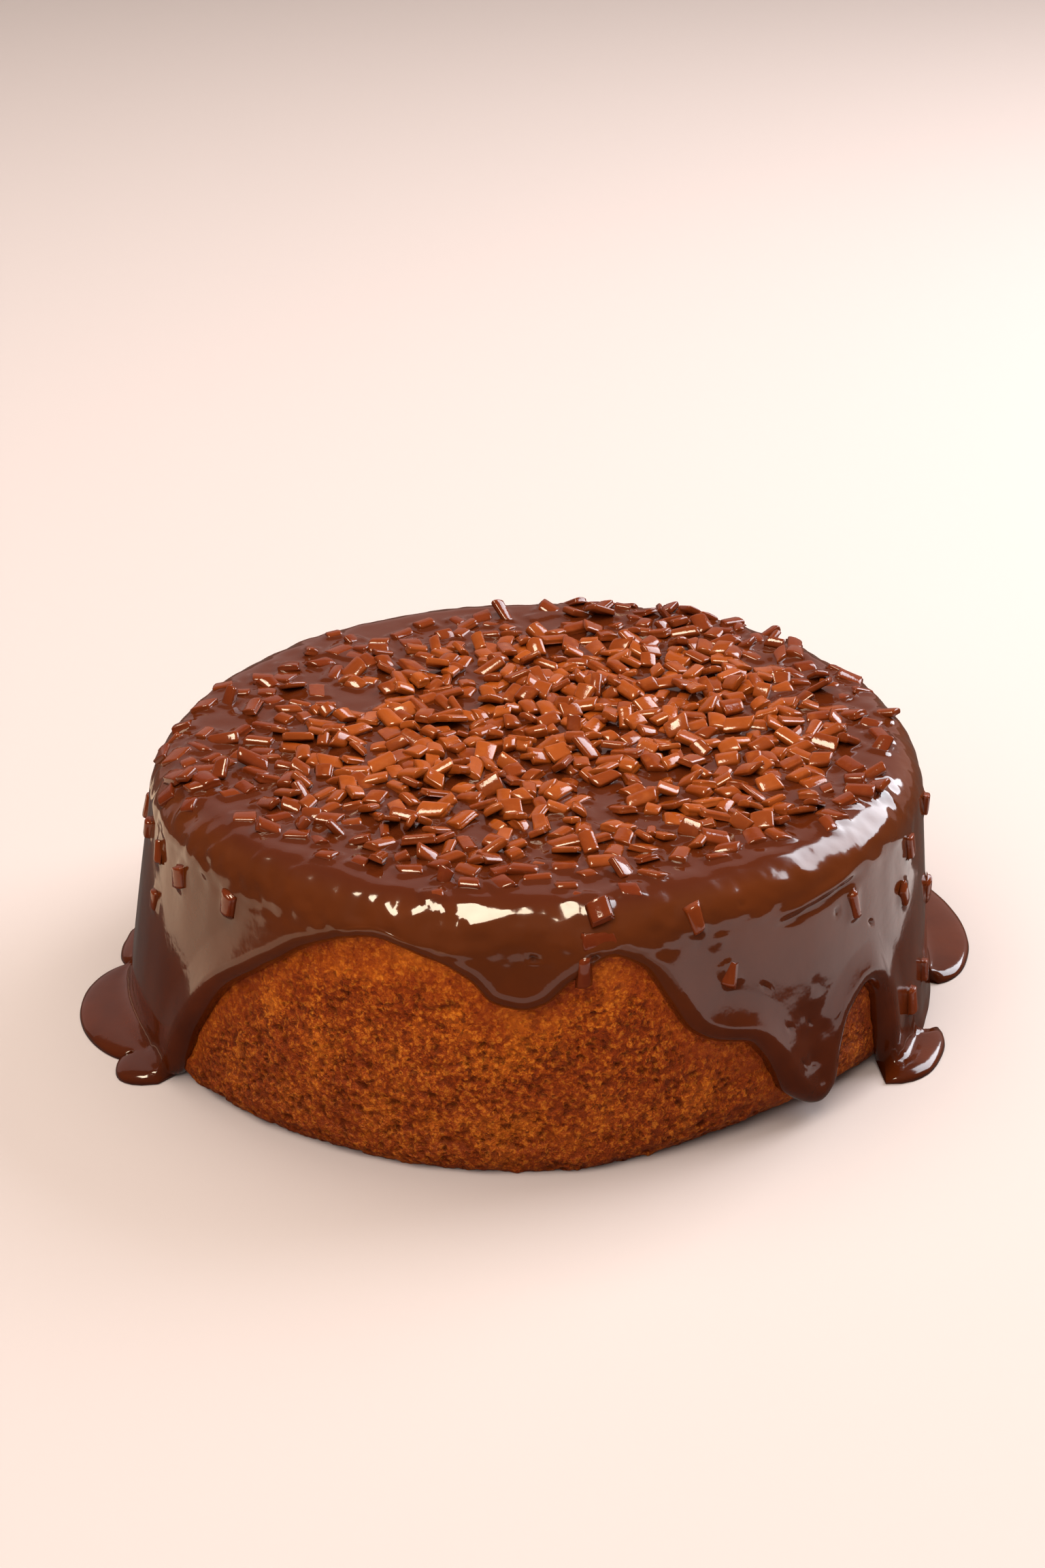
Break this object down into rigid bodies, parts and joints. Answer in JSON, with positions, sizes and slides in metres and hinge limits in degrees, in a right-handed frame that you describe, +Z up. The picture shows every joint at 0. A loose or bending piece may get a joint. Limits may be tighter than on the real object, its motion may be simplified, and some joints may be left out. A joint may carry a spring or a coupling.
{
  "type": "round carrot cake with chocolate glaze",
  "caption": "Whole round carrot cake under poured chocolate glaze that drips down the side, its top covered with flat chocolate flakes.",
  "frame": {"origin": "centre of the flat underside of the sponge, on the surface that the cake stands on", "axes": "+Z up; -Y towards the side shown in front; +X to the right of that side"},
  "size_m": [0.2483, 0.2196, 0.0784],
  "materials": {
    "sponge": "moist open orange-brown crumb with small pores, matt",
    "chocolate_glaze": "wet, glossy dark brown chocolate glaze",
    "chocolate_flakes": "satin milk-brown chocolate"
  },
  "bodies": {
    "root": {"sponge": "sponge", "chocolate_glaze": "chocolate_glaze", "chocolate_flakes": "chocolate_flakes"}
  },
  "joints": []
}
